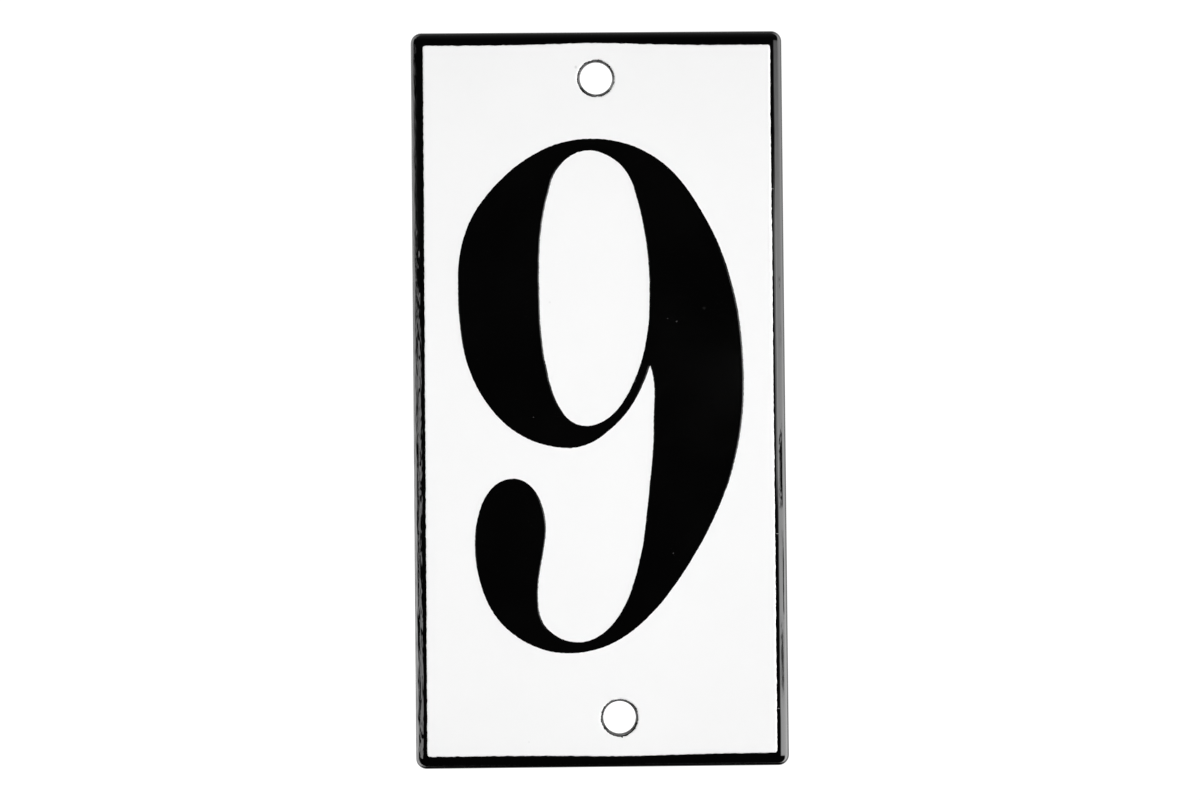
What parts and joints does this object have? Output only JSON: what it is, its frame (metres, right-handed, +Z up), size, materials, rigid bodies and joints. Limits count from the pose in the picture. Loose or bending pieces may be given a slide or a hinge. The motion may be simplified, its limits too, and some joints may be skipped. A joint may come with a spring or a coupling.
{
  "type": "enamel house number plaque",
  "caption": "Upright rectangular enamelled steel plaque with a turned-back black rim, a white field, a black figure nine and screw holes above and below it, for fixing to a wall or door.",
  "frame": {"origin": "middle of the plaque on the wall, in the plane of the rim's back edge", "axes": "+X to the right seen from the front, +Y into the wall so that the face looks along -Y, +Z up the plaque"},
  "size_m": [0.0506, 0.0037, 0.1],
  "materials": {
    "black_enamel": "fired gloss enamel",
    "white_enamel": "fired gloss enamel"
  },
  "bodies": {
    "root": {"plate": "black_enamel", "white_field": "white_enamel", "numeral": "black_enamel"}
  },
  "joints": []
}
